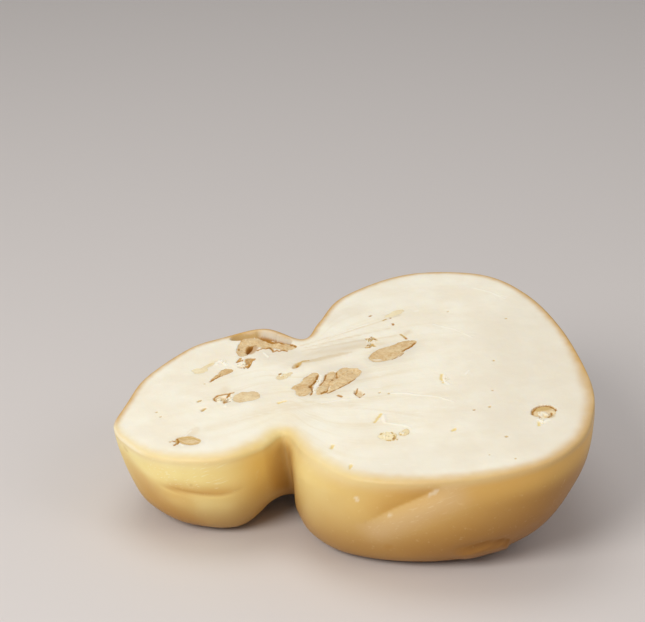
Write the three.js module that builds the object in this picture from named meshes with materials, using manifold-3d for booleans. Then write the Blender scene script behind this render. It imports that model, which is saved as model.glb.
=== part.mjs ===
// Half of a gourd-shaped stretched-curd cheese with walnut pieces in its paste.
// It lies on its round side with the cut face up, the head towards -X and the body towards +X.
// Millimetres, +Z up, the table at Z = 0 and the origin under the middle of the cheese.

import * as THREE from 'three';
import { ParametricGeometry } from 'three/addons/geometries/ParametricGeometry.js';
import { mergeVertices } from 'three/addons/utils/BufferGeometryUtils.js';
import Module from 'manifold-3d';

const wasm = await Module();
wasm.setup();
const { degToRad, smoothstep } = THREE.MathUtils;

// Rows across the cut face, from the tip of the head to the end of the body, measured from the
// middle of the face: front edge x and y, back edge x and y, and the depth of cheese under the row.
const ROWS = [
  [-102, -22, -102, -22, 0], // tip of the head
  [-95.5, -36, -97.5, -1, 31.5],
  [-84, -48.5, -90.5, 19.5, 45],
  [-69, -54.5, -72.5, 42, 59], // widest part of the head
  [-53, -56, -57, 49.5, 62],
  [-38, -49.5, -37.5, 54, 47], // swelling beside the neck
  [-28, -40.5, -20, 40, 49], // neck
  [-18, -60, -12.5, 54.5, 49],
  [1, -82, -0.5, 78, 72],
  [36, -90.5, 30, 94, 78], // widest part of the body
  [72, -86.5, 64, 86.5, 62],
  [92, -71, 83.5, 62.5, 37],
  [100.5, -50, 96, 24.5, 17],
  [102.5, -24, 102.5, -24, 0], // end of the body
];
const SECTION_POWER = 2.6; // 2 is an ellipse, more is boxier
const BODY_LEAN = 11; // how far the underside of the body bulges towards the head
const LEAN_GROWS = [-28, -10]; // from the neck to the shoulder of the body
const LEAN_FADES = [18, 98]; // from the middle of the body to its end
const FACE_CROWN = 0.4; // drop from the flat of the cut face to its rim
const CROWN_POWER = 9;
const FULL_CROWN_DEPTH = 20; // the crown fades out where the cheese is shallower than this

// How the half lies on the table
const BODY_END_RISE = 6.4; // degrees
const BACK_EDGE_RISE = 6.7; // degrees
const FACE_HEIGHT = 55.1; // middle of the cut face above the table
const SAG = 7; // softness of the underside where it spreads on the table
const FOOT = 1; // slice pressed flat at the very bottom
const CENTRE_X = 0.855; // from the middle of the face to the middle of the whole outline
const CENTRE_Y = 2.494;

// Soft creases in the rind: middle, direction, half length, half width and depth. They sink towards
// the core of the row, which lies at this part of its depth.
const CORE_DEPTH = 1 / 3;
const CREASES = [
  { at: [-63.3, -54.8, -19], along: [1, -0.1, -0.12], length: 17, width: 3.4, depth: 1.3 },
  { at: [14.5, -87.5, -9], along: [1, -0.2, 0.22], length: 18, width: 6, depth: 2.2 },
];

// Walnut pieces seen at the cut: middle x and y on the face, length, width, turn in degrees, depth
// below the face, taper (-1 to 1, thinner towards one end) and bend of the long axis
const WALNUTS = {
  walnut_neck: { at: [-36.4, 34.6], length: 28, width: 11, turn: -6, depth: 8, taper: -0.5, bend: 1 },
  walnut_middle_left: { at: [-18.4, -3.9], length: 19.5, width: 7.4, turn: 77, depth: 8, bend: -0.8 },
  walnut_middle_right: { at: [-4.3, -3], length: 25, width: 11.8, turn: 53, depth: 9, taper: 0.15 },
  walnut_head: { at: [-44.6, -8.8], length: 14.5, width: 9.5, turn: -4, depth: 6, taper: 0.1 },
  walnut_back: { at: [20.5, 18.7], length: 25.5, width: 10, turn: 27, depth: 8, taper: -0.45 },
  walnut_end: { at: [80.7, -47.5], length: 11.5, width: 11.5, turn: 0, depth: 7 },
  walnut_front: { at: [-68.2, -41], length: 12, width: 6.5, turn: -24, depth: 5, taper: -0.2 },
  walnut_sliver: { at: [-55.8, 12.8], length: 15, width: 4.6, turn: 44, depth: 4, taper: 0.5 },
  walnut_bit: { at: [-43.6, 23.3], length: 8.5, width: 5.5, turn: 35, depth: 4.5 },
  walnut_pale: { at: [-28.3, 6], length: 10.5, width: 7, turn: 30, depth: 4, taper: 0.1 },
  walnut_flake: { at: [-65.7, 19], length: 9, width: 5.5, turn: 15, depth: 3, taper: 0.2 },
  walnut_crumbly: { at: [15.3, -53.3], length: 9.5, width: 8, turn: 0, depth: 5 },
  walnut_crumb: { at: [23.6, -51.2], length: 6.4, width: 5.8, turn: 30, depth: 4 },
  walnut_faint: { at: [22.8, 54], length: 11.5, width: 6, turn: 33, depth: 4 },
};

// Hollows beside and between the walnut pieces, given in the same way
const HOLLOWS = [
  { at: [-41.7, 40.4], length: 28, width: 10, turn: -2.8, depth: 8, bend: 6.7 }, // behind the neck nut
  { at: [-54, -7.5], length: 9, width: 7, turn: 20, depth: 4 },
  { at: [-22.8, 14.6], length: 7.5, width: 4.5, turn: 45, depth: 5, taper: 0.3 },
  { at: [4, -15.5], length: 8, width: 4.5, turn: 115, depth: 4, taper: 0.4 },
  { at: [-75.2, -41], length: 4.5, width: 4, turn: 60, depth: 3.5 },
];
const NUT_PIT = { at: [-43.5, 33.4], length: 5, width: 3, turn: 80, depth: 5 }; // in the neck nut
const NUT_LOBES = 5; // waves round the edge of a walnut piece
const NUT_LOBE_SIZE = 0.06;
const GAP = 0.3; // clearance between a nut and its pocket
const POCKET_RISE = 4; // a pocket's cutter stands this far above the face
const TABLE = { side: 400, thickness: 100 }; // cuts off what would lie below the table

// Fineness of the facets
const LENGTH_STEPS = 76;
const UNDER_STEPS = 32;
const FACE_STEPS = 6;
const RIM_BUNCH = 0.7; // draws the steps of the underside together towards the rim
const NUT_STEPS_ROUND = 16;
const NUT_STEPS_DOWN = 4;

const PASTE = new THREE.MeshStandardMaterial({ color: '#f1e6c8', roughness: 0.5, metalness: 0 });
const WALNUT = new THREE.MeshStandardMaterial({ color: '#d9bd8c', roughness: 0.7, metalness: 0 });

// The rim of the cut face as one closed curve. Its third coordinate carries the depth under the
// row, positive along the front edge and negative along the back, so that both ends close roundly.
const frontRim = ROWS.map(([x, y, , , depth]) => new THREE.Vector3(x, y, depth));
const backRim = ROWS.map(([, , x, y, depth]) => new THREE.Vector3(x, y, -depth));
const rimPoints = [...frontRim, ...backRim.slice(1, -1).reverse()];
const rim = new THREE.CatmullRomCurve3(rimPoints, true, 'catmullrom', 0.5);

// From the cut face to the table
const UP = new THREE.Vector3(0, 0, 1);
const tilt = new THREE.Euler(degToRad(BACK_EDGE_RISE), degToRad(-BODY_END_RISE), 0, 'YXZ');
const toTable = new THREE.Matrix4().makeRotationFromEuler(tilt);
toTable.setPosition(-CENTRE_X, -CENTRE_Y, FACE_HEIGHT);

// Cosine or sine raised to the section's power, with its sign kept
function rounded(value) {
  return Math.sign(value) * Math.abs(value) ** (2 / SECTION_POWER);
}

// Height above the table after the soft underside has spread out on it
function settled(height) {
  const raised = height + FOOT;
  return (raised + Math.hypot(raised, SAG)) / 2 - FOOT;
}

// Depth of the creases at a point of the rind
function creaseDepth(point) {
  let depth = 0;
  for (const crease of CREASES) {
    const offset = point.clone().sub(new THREE.Vector3(...crease.at));
    const along = offset.dot(new THREE.Vector3(...crease.along).normalize());
    const aside = Math.sqrt(Math.max(0, offset.lengthSq() - along * along));
    depth += crease.depth * Math.exp(-((along / crease.length) ** 2) - (aside / crease.width) ** 2);
  }
  return depth;
}

// Surface of the cheese: u runs from tip to end, v from the back rim under the cheese to the front
// rim and then across the cut face to the back rim again
function cheeseSurface(u, v, target) {
  const row = u * (ROWS.length - 1);
  const front = rim.getPoint(row / rimPoints.length);
  const back = rim.getPoint(1 - row / rimPoints.length);
  const depth = Math.max(front.z, 0);
  const crown = FACE_CROWN * Math.min(1, depth / FULL_CROWN_DEPTH);
  const step = v * (UNDER_STEPS + FACE_STEPS);
  const middle = front.clone().add(back).multiplyScalar(0.5);
  const half = back.clone().sub(front).multiplyScalar(0.5);

  if (step <= UNDER_STEPS) {
    const turn = 2 * Math.PI * step / UNDER_STEPS;
    const angle = (turn - RIM_BUNCH * Math.sin(turn)) / 2;
    const across = rounded(Math.cos(angle));
    const down = rounded(Math.sin(angle));
    const x = middle.x + half.x * across;
    const lean = smoothstep(x, ...LEAN_GROWS) - smoothstep(x, ...LEAN_FADES);
    const z = -crown - (depth - crown) * down;
    target.set(x - BODY_LEAN * lean * down, middle.y + half.y * across, z);
    const inward = new THREE.Vector3(target.x, middle.y, -depth * CORE_DEPTH).sub(target);
    if (inward.lengthSq() > 0) {
      target.addScaledVector(inward.normalize(), creaseDepth(target));
    }
  } else {
    const across = 2 * (step - UNDER_STEPS) / FACE_STEPS - 1;
    const drop = crown * Math.abs(across) ** CROWN_POWER;
    target.set(middle.x + half.x * across, middle.y + half.y * across, -drop);
  }
  target.applyMatrix4(toTable);
  target.z = settled(target.z);
}

// A walnut piece or its pocket: a bowl under a lobed outline, with a straight wall above it
function kernelGeometry(kernel, grow, rise) {
  const { at, length, width, turn, depth, taper = 0, bend = 0 } = kernel;
  const halfLength = length / 2 + grow;
  const stacks = NUT_STEPS_DOWN + 2;

  function surface(u, v, target) {
    const round = 2 * Math.PI * u;
    const stack = Math.round(v * stacks);
    const slope = Math.PI / 2 * Math.min(1, stack / NUT_STEPS_DOWN);
    const reach = stack === stacks ? 0 : Math.sin(slope);
    const along = reach * Math.cos(round);
    const lobes = 1 + NUT_LOBE_SIZE * Math.sin(NUT_LOBES * round);
    const girth = width / 2 * (1 + taper * Math.cos(round)) * lobes + grow;
    const height = stack > NUT_STEPS_DOWN ? rise : -(depth + grow) * Math.cos(slope);
    const bow = bend * (1 - along * along);
    target.set(halfLength * along, girth * reach * Math.sin(round) + bow, height);
    target.applyAxisAngle(UP, degToRad(turn));
    target.x += at[0];
    target.y += at[1];
  }
  return new ParametricGeometry(surface, NUT_STEPS_ROUND, stacks);
}

// Closed mesh to solid: shared vertices are merged and faces without area are dropped
function solidFrom(geometry) {
  geometry.deleteAttribute('normal');
  geometry.deleteAttribute('uv');
  const merged = mergeVertices(geometry);
  const corners = merged.index.array;
  const kept = [];
  for (let i = 0; i < corners.length; i += 3) {
    const [a, b, c] = corners.slice(i, i + 3);
    if (a !== b && b !== c && c !== a) {
      kept.push(a, b, c);
    }
  }
  return new wasm.Manifold(new wasm.Mesh({
    numProp: 3,
    vertProperties: new Float32Array(merged.attributes.position.array),
    triVerts: new Uint32Array(kept),
  }));
}

function geometryFrom(solid) {
  const mesh = solid.getMesh();
  const geometry = new THREE.BufferGeometry();
  geometry.setAttribute('position', new THREE.BufferAttribute(mesh.vertProperties, mesh.numProp));
  geometry.setIndex(new THREE.BufferAttribute(mesh.triVerts, 1));
  geometry.computeVertexNormals();
  return geometry;
}

function pocket(kernel) {
  return solidFrom(kernelGeometry(kernel, GAP, POCKET_RISE).applyMatrix4(toTable));
}

function namedMesh(name, solid, material) {
  const mesh = new THREE.Mesh(geometryFrom(solid), material.clone());
  mesh.name = name;
  return mesh;
}

// The cheese, pressed flat where it stands, with a pocket for every walnut piece
function makeCheese() {
  const whole = new ParametricGeometry(cheeseSurface, LENGTH_STEPS, UNDER_STEPS + FACE_STEPS);
  const table = new THREE.BoxGeometry(TABLE.side, TABLE.side, TABLE.thickness);
  table.translate(0, 0, -TABLE.thickness / 2);
  let cheese = solidFrom(whole).subtract(solidFrom(table));
  for (const kernel of [...Object.values(WALNUTS), ...HOLLOWS]) {
    cheese = cheese.subtract(pocket(kernel));
  }
  return namedMesh('cheese', cheese, PASTE);
}

// One walnut piece, cut off level with the face
function makeWalnut(name) {
  const whole = solidFrom(kernelGeometry(WALNUTS[name], 0, 0).applyMatrix4(toTable));
  return namedMesh(name, whole.subtract(pocket(NUT_PIT)), WALNUT);
}

const halfCheese = new THREE.Group();
halfCheese.add(makeCheese());
for (const name of Object.keys(WALNUTS)) {
  halfCheese.add(makeWalnut(name));
}

export default halfCheese;
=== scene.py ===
import math
from types import SimpleNamespace

import bpy
import numpy as np
from mathutils import Matrix, Vector
from mathutils.geometry import delaunay_2d_cdt


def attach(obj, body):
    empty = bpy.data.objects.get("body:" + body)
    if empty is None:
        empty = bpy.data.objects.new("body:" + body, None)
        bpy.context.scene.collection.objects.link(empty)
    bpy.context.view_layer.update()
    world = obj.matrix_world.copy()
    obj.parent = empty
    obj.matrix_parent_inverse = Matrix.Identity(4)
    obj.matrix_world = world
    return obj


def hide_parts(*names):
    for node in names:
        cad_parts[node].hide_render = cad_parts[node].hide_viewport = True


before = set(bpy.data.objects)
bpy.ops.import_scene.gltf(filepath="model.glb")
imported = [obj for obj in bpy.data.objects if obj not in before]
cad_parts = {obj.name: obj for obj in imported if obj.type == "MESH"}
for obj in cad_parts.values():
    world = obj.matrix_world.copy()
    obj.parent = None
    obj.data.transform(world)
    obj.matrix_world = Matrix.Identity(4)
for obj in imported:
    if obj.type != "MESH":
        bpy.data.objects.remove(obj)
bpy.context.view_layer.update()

# Half of a gourd-shaped stretched-curd cheese with walnut pieces, lying on its round side.
# All sizes are millimetres, measured on the cut face from its middle: x towards the end of the
# body, y towards the back edge, z out of the face. A lobe is an ellipse, given by x, y, half length,
# half width and turn in degrees. A path is a list of places x, y.

# Rows across the cut face, from the tip of the head to the end of the body: front edge x and y,
# back edge x and y, and the depth of cheese under the row
ROWS = [
    (-102, -22, -102, -22, 0),
    (-95.5, -36, -97.5, -1, 31.5),
    (-84, -48.5, -90.5, 19.5, 45),
    (-69, -54.5, -72.5, 42, 59),
    (-53, -56, -57, 49.5, 62),
    (-38, -49.5, -37.5, 54, 47),
    (-28, -40.5, -20, 40, 49),
    (-18, -60, -12.5, 54.5, 49),
    (1, -82, -0.5, 78, 72),
    (36, -90.5, 30, 94, 78),
    (72, -86.5, 64, 86.5, 62),
    (92, -71, 83.5, 62.5, 37),
    (100.5, -50, 96, 24.5, 17),
    (102.5, -24, 102.5, -24, 0),
]
LAST_ROW = len(ROWS) - 1
SECTION_POWER = 2.6  # a row's section under the face: 2 is an ellipse, more is squarer
BODY_LEAN = 11  # how far the underside of the body leans towards the neck
LEAN_GROWS = (-28, -10)
LEAN_FADES = (18, 98)
SHOULDER = 5  # how far the front of the body bulges over the neck
SHOULDER_GROWS = (-30, -17)
SHOULDER_FADES = (8, -14)
FACE_CROWN = 0.4  # how far the face falls towards its rim
CROWN_POWER = 9
FULL_CROWN_DEPTH = 20

# How the half lies on the table
BODY_END_RISE = 6.4  # degrees
BACK_EDGE_RISE = 6.7  # degrees
FACE_HEIGHT = 55.1
SAG = 7  # how softly the underside rounds off towards the table
FOOT = 1  # how far it is pressed flat there
CENTRE = (-0.855, -2.494)  # middle of the cut face, seen from above
WITHIN = 0.9994  # keeps the uneven skin inside the size of the plain block

# Softened edge of the cut along the front, by x: how far in it starts, how deep it falls at the
# rim, how far in the skin's colour reaches and how strong that colour is at the rim; then the same
# four for the back
EDGE_FRONT = [
    (-100, 3, 0.9, 4.5, 0.75),
    (-75, 4.2, 1.5, 7, 0.78),
    (-55, 4.6, 1.6, 8, 0.85),
    (-44, 5, 1.8, 10, 0.95),
    (-34, 5, 1.8, 9.5, 0.95),
    (-26, 4.5, 1.6, 7, 0.9),
    (-14, 4.5, 1.5, 8, 0.8),
    (10, 4.2, 1.5, 7.5, 0.88),
    (45, 3.8, 1.4, 6.4, 0.88),
    (80, 3.2, 1.1, 6.5, 0.88),
    (102, 2.6, 0.9, 7, 0.85),
]
EDGE_BACK = (1.6, 0.35, 4.4, 0.98)

# Walnut pieces. Each is a cluster of lobes with its own depth under the face, sink below it, height
# of its wrinkles, width of the crack around it, and tone from pale yellow (0) to brown (1). The edge
# of a soft nut runs into the paste, and a nut with a fold has furrows between its lobes.
WALNUTS = {
    "walnut_neck": dict(
        lobes=[(-46.2, 36.6, 8.4, 3.9, 82), (-42, 41.4, 5.2, 3, -28), (-34.6, 36.6, 7.6, 3, -16),
               (-28, 33.6, 5.4, 3.1, -24)],
        depth=8, sink=0.2, wrinkle=0.5, crack=0.04, tone=0.6),
    "walnut_middle_left": dict(
        lobes=[(-17, 0.8, 6.4, 2.8, 66), (-19.4, -6.2, 6.4, 3.7, 80), (-22.9, -4.4, 2.2, 1.3, 25)],
        depth=8, sink=0.05, wrinkle=0.3, crack=0.02, tone=0.58),
    "walnut_middle_right": dict(
        lobes=[(-8, 1, 5.4, 2.5, 78), (-2.6, 4.6, 4.2, 2.6, 52), (-2.2, -0.8, 9, 4.3, 42),
               (-11, -8.3, 5.2, 2.7, 62), (1.4, 2, 4.8, 3.2, 48), (-6.2, -6.6, 6.4, 3.2, 42)],
        depth=9, sink=0.05, wrinkle=0.4, crack=0.02, tone=0.54, fold=1),
    "walnut_head": dict(
        lobes=[(-46.4, -8.6, 4.9, 4.6, 0), (-42.4, -8.2, 3.8, 4.3, 0)],
        depth=6, sink=0.05, wrinkle=0.25, crack=0, tone=0.42, soft=0.5),
    "walnut_back": dict(
        lobes=[(17.6, 17.2, 9, 5.6, 36), (24.6, 22.2, 7.2, 3.7, 30)],
        depth=8, sink=0.04, wrinkle=0.16, crack=0, tone=0.58),
    "walnut_end": dict(
        lobes=[(80.5, -46, 5.2, 5, 0)],
        depth=7, sink=0.35, wrinkle=0.4, crack=0.12, tone=0.4),
    "walnut_front": dict(
        lobes=[(-69.2, -40, 4.8, 3, -16), (-66.8, -41.2, 3.4, 2.3, -24)],
        depth=5, sink=0.15, wrinkle=0.18, crack=0.03, tone=0.48),
    "walnut_sliver": dict(
        lobes=[(-54.2, 16, 3.1, 2.4, 20), (-57.6, 12.8, 5, 1.1, 46)],
        depth=4, sink=0.15, wrinkle=0.3, crack=0.04, tone=0.74),
    "walnut_bit": dict(
        lobes=[(-44.2, 24.6, 2.7, 1.6, 5), (-44.6, 20.8, 3.3, 1.3, 74), (-48.8, 25.4, 2.4, 0.8, 66)],
        depth=4.5, sink=0.3, wrinkle=0.4, crack=0.06, tone=0.95),
    "walnut_pale": dict(
        lobes=[(-28.8, 6.2, 3.7, 2.7, 30), (-25.8, 8, 2, 1.4, 40)],
        depth=4, sink=0.1, wrinkle=0.24, crack=0, tone=0.3, soft=0.5),
    "walnut_flake": dict(
        lobes=[(-66, 19.2, 3.6, 2.6, 25), (-62.8, 22.8, 3.6, 1.5, 40), (-68.4, 20.6, 2, 1.2, 30)],
        depth=3, sink=0.05, wrinkle=0.16, crack=0, tone=0.14, soft=0.5),
    "walnut_crumbly": dict(
        lobes=[(15, -52.8, 4.2, 3.7, 0)],
        depth=5, sink=0, wrinkle=0.3, crack=0, tone=0.02, soft=0.5),
    "walnut_crumb": dict(
        lobes=[(21.9, -51.4, 2.9, 2.3, 60)],
        depth=4, sink=0, wrinkle=0.26, crack=0, tone=0.16, soft=0.5),
    "walnut_faint": dict(
        lobes=[(22.8, 54.4, 5.4, 2.5, 33)],
        depth=4, sink=0.04, wrinkle=0.1, crack=0, tone=0.12, soft=0.5),
}
LOBE_BLEND = 0.7  # how softly the lobes of one nut run together
EDGE_RAGGED = 0.34  # how far a nut's outline wanders

# Empty hollows in the paste, as lobes with a depth
HOLLOWS = [
    ((-46.4, 47.9, 7.6, 3.9, 10), 4.5),  # socket behind the neck nut
    ((-37.2, 46.2, 7.8, 4.4, -40), 5.5),
    ((-29.8, 40.9, 6.4, 3.4, -44), 4),
    ((-56, -8, 2.8, 2.2, 20), 1.1),  # beside the head nut
    ((-52.2, -7.8, 1.5, 3, -12), 0.9),
    ((-22.6, 14.9, 2.9, 1.5, 48), 0.7),
    ((3.9, -15.2, 3.4, 1.5, 112), 1.2),
    ((-73.4, -40.4, 2, 0.55, 96), 0.4),
    ((-47.4, 19.4, 2, 1, 15), 1),
]
NUT_PIT = ((-43.6, 33.9, 3.9, 1.9, 76), 4.6)  # round hole in the neck nut

# Marks on the face by what they show: brown cracks and pits along the nuts, tan and yellow specks,
# white torn curd. Each has a half width, a depth (negative is raised) and a path.
MARKS = {
    "brown": [
        (0.5, 0.9, [(-13.4, 4.6), (-14.2, 0.2), (-15.4, -2.6), (-17.1, -4.6)]),
        (0.45, 0.8, [(-17.1, -4.6), (-16.1, -6.4), (-16, -9), (-16.8, -12.4)]),
        (0.34, 0.5, [(-9.9, 3.8), (-10.6, -0.6), (-12.6, -4.8)]),
        (0.34, 0.5, [(-8.4, -6.6), (-9.6, -10.2), (-12.2, -12.4)]),
        (0.26, 0.2, [(-9.4, -12.6), (-5, -9.6), (-0.6, -6.2), (3, -2.4)]),
        (0.26, 0.3, [(-5.1, 1.2), (-5.2, 4.8)]),
        (0.42, 0.6, [(24.7, 18.2), (26.5, 20), (28.6, 21.5), (30.4, 24.6)]),
        (0.26, 0.2, [(19.6, 11.2), (23.4, 13.8), (25, 16.2)]),
        # Partly a crack and partly painted shade: the dark line along the back of the neck nut, in the gap
        # before the socket
        (0.55, 0.7, [(-39.8, 45.6), (-38.4, 43.3), (-36.4, 40.6), (-34.2, 39), (-30, 37.7), (-26.8, 37),
                     (-23.2, 32.6)]),
        (0.4, 0.5, [(-40.6, 32.8), (-38.2, 34.2), (-36.6, 33.6), (-35, 34.2), (-33.8, 31.8),
                    (-33.4, 29.8), (-32, 31), (-30.8, 29.8), (-29.2, 30.6), (-27.2, 29.2)]),
        (0.45, 0.4, [(-58.4, -9.1), (-59.3, -7), (-57.6, -4.9), (-54.8, -4.3), (-50.6, -3.5)]),
        (0.4, 0.3, [(-52.4, -4.6), (-54, -8.2), (-54.6, -11.8), (-51.8, -10.8)]),
        (0.42, 0.25, [(-73.6, -38), (-73, -39.6), (-73, -41.2), (-74.6, -42.8)]),
        (0.45, 0.2, [(-75.6, -39.2), (-74.6, -39.8)]),
        (0.4, 0.4, [(-61.2, 8.4), (-59.6, 10.2), (-57.2, 12.4)]),
        (0.5, 0.2, [(-24, 13.2), (-22.8, 13.4), (-22.4, 15.6)]),
        (0.38, 0.3, [(75.5, -47.6), (75.9, -44.8), (77.8, -42), (80.6, -41), (83.2, -42.2), (85.3, -44.8),
                     (85.5, -46.4)]),
        (0.45, 0.3, [(83.4, -47.4), (83.2, -49.2), (81.8, -50.8)]),
        (0.35, 0.2, [(78.2, -49.4), (78.6, -51.2)]),
        (0.34, 0.2, [(3.7, -11.4), (2.1, -14.8), (4.4, -19), (6.4, -16.4)]),
        (0.6, 0.5, [(-5, -15.2), (-3.4, -16.4)]), (0.55, 0.4, [(26.5, 30), (26.7, 29.2)]),
        (0.45, 0.4, [(-49.6, 23.8), (-47.2, 24.8)]),
        (0.45, 0.3, [(-48.8, 19), (-47.4, 18), (-46.6, 19), (-46.2, 17.2)]),
        (0.4, 0.3, [(-44.8, 17), (-43.6, 20.2)]), (0.3, 0.1, [(-49.2, 36.4), (-49.2, 34.6)]),
        (0.4, 0.1, [(20.6, 50.2)]), (0.65, 1.2, [(-5.1, 1)]), (0.5, 0.9, [(-7, -0.9)]),
        (0.65, 0.2, [(11.5, 54.4)]), (0.62, 0.2, [(21.5, 44.6), (21.6, 43.6)]),
        (0.4, 0.5, [(52, -39)]),
    ],
    "tan": [
        (0.3, 0.2, [(-72.8, -37.2), (-69.6, -37.2), (-66.4, -38.8), (-63.6, -41.4)]),
        (0.26, 0.2, [(-72.6, -39.2), (-70.6, -41.8), (-67.6, -43), (-64.6, -43.4)]),
        (0.6, 0.1, [(-22.2, 16.2), (-20, 18), (-17.6, 18.2)]),
        (0.5, 0.2, [(24.6, 33.8), (26.2, 30.6)]), (0.42, 0.05, [(12.5, -50.4), (12.2, -51.2)]),
        (0.42, 0.05, [(16.8, -50.2), (17, -51.2)]),
        (0.45, 0.05, [(17.6, -53), (18, -55.4), (17.2, -56.4)]),
        (0.35, 0.2, [(14.6, -56.2), (16, -56.6)]), (0.35, 0.2, [(20.4, -52.8)]),
        (0.45, 0.1, [(17.2, 48.6), (18.6, 49.6)]), (0.75, 0.9, [(-63.5, -16), (-62.9, -14.8)]),
        (0.55, 0.6, [(-66, -8), (-65, -7.4)]), (0.45, 0.5, [(-83.8, -13.5)]),
        (0.45, 0.5, [(-81.8, -17.7)]), (0.5, 0.5, [(-76.4, -39.6)]), (0.4, 0.5, [(-63.6, 7)]),
        (0.6, 0.8, [(8.6, 25.2), (10, 25), (11.4, 27.6), (12.6, 25.4)]),
        (0.55, 0.7, [(9, 33), (10.6, 30.8), (12, 33.4), (13.4, 31.2)]), (0.45, 0.5, [(63.7, 1.3)]),
        (0.4, 0.4, [(72.7, 38.5)]), (0.4, 0.4, [(47, 51)]), (0.5, 0.5, [(58.7, -37.7)]),
        (0.4, 0.4, [(61, -24.3)]), (0.5, 0.5, [(63.4, -62.6)]), (0.4, 0.4, [(55.3, -75.2)]),
        (0.4, 0.4, [(65.3, -79.8)]), (0.45, 0.6, [(13, -16.4)]), (0.4, 0.5, [(17, -18)]),
    ],
    "yellow": [
        (0.75, 0.5, [(42, -53.6), (43, -52.4)]), (0.8, 0.6, [(-8.4, -57.6), (-8, -56)]),
        (0.7, 0.5, [(-1.4, -74.6), (-0.8, -72.6)]), (0.7, 0.6, [(-30.6, -16.4), (-27.6, -15.4)]),
        (0.65, 0.4, [(13, -34.4), (11.2, -38), (10, -41)]),
        (0.55, 0.2, [(40.4, -6.4), (40, -10), (40.6, -13.6)]),
        (0.5, 0.3, [(77.3, -54.6), (77.2, -56.4)]),
    ],
    "white": [
        (0.9, -0.35, [(14, -36.4), (14, -41)]),
        (0.4, -0.15, [(14.2, -42), (17.2, -43.6), (22, -45.6), (24.6, -48.2)]),
        (0.8, -0.25, [(-12, 3.4), (-12.4, -1.6), (-14.8, -5.6), (-14.9, -10.6)]),
        (0.35, -0.15, [(-8.3, -6.9), (-8.9, -9.2)]), (0.75, -0.45, [(-56.6, -9.8), (-56.8, -7.6)]),
        (0.6, -0.35, [(-51.9, -9.8), (-52.2, -7.2)]), (0.55, -0.25, [(-53.8, -14.6), (-53.6, -13.4)]),
        (0.8, -0.3, [(-59.4, 23.6), (-57.8, 26.2), (-56.2, 25.2), (-54.6, 22.4)]),
        (0.9, -0.4, [(79, -48.8), (79.4, -46.6), (81.6, -48.6)]),
        (0.6, -0.3, [(77.6, -52.4), (79.4, -54.4), (82, -53)]),
        (0.5, -0.15, [(-72.2, -42.2), (-70.8, -43.6)]), (0.3, -0.08, [(-70, -36), (-68, -32.6)]),
        (0.55, -0.25, [(-46.4, 19.6), (-46.8, 26.4)]), (0.4, -0.2, [(-37.8, 29.8), (-35.6, 25.4)]),
        (0.55, -0.22, [(41.6, -7.2), (41.2, -12.6), (43, -15.6)]),
        (0.45, -0.2, [(51, -8.4), (52.4, -5.6)]),
        (0.45, -0.18, [(18, -18.4), (24, -19.4), (29.6, -22)]),
        (0.35, -0.14, [(30, -22), (38, -25.6), (44, -30.6)]),
        (0.45, -0.15, [(14.6, 12), (11.6, 12.6)]), (0.35, -0.1, [(-8, 38), (2, 43), (10, 47)]),
        (0.3, -0.08, [(40, 40), (49, 33), (56, 24)]), (0.3, -0.08, [(60, 72), (68, 66), (74, 58)]),
        (0.35, -0.1, [(-12, -20.6), (-2, -19), (6, -20.4)]),
    ],
}

# Tints in the paste by colour: strength, softness of the edge and a lobe
TINTS = {
    "grey": [
        (0.55, 5, (-6, -2, 17, 12.5, 40)), (0.6, 5, (21, 17, 14, 8, 30)),
        (0.45, 3, (80.4, -46.6, 7.6, 7, 0)), (0.4, 3, (-69, -40.6, 7, 5.2, -20)),
        (0.3, 3, (-48, -9, 11, 6, 0)), (0.5, 5, (-8, 24, 22, 6, 24)),
        (0.45, 5, (-30, 26.5, 13, 6, -14)), (0.25, 4, (52, -38.5, 7, 3, 10)),
        (0.22, 5, (-2, 58, 10, 5, 40)), (0.4, 24, (88, -20, 36, 80, 0)),
        (0.28, 14, (44, -74, 52, 13, 6)), (0.3, 6, (58.6, -29, 10, 6, 0)),
    ],
    "yellow": [
        (0.12, 6, (-34, -30, 9, 6, 0)), (0.14, 1.6, (15.6, -53, 4.4, 4, 0)),
        (0.18, 1.4, (22, -51.6, 3.4, 2.6, 60)), (0.35, 1.6, (-60.8, 25.2, 3, 1, 35)),
    ],
    "tan": [
        (0.36, 1.2, (-9, 19.4, 12, 1.4, 14)), (0.22, 1.2, (-66.8, -33.8, 4.2, 2.2, 62)),
        (0.24, 1.4, (27.4, 34.4, 3.2, 1.4, 60)), (0.2, 2, (-54.6, -1.6, 1.6, 4, 0)),
        (0.6, 0.8, (3.9, -15.4, 3.2, 1.5, 112)), (0.55, 0.8, (-57.4, -7.4, 2, 1.6, 20)),
        (0.75, 0.8, (80.5, -43.4, 3.6, 2, 0)), (0.6, 0.8, (82.6, -50, 2, 1.6, 0)),
        (0.55, 0.9, (-69.6, -38.6, 4.4, 1.2, -16)), (0.85, 0.9, (-22.6, 14.8, 3, 1.5, 56)),
        (0.8, 0.5, (-73.4, -40.4, 2.4, 0.8, 96)),
    ],
    "brown": [
        (0.7, 0.8, (-43.4, 34, 4.4, 2.8, 80)),
    ],
}
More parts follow.
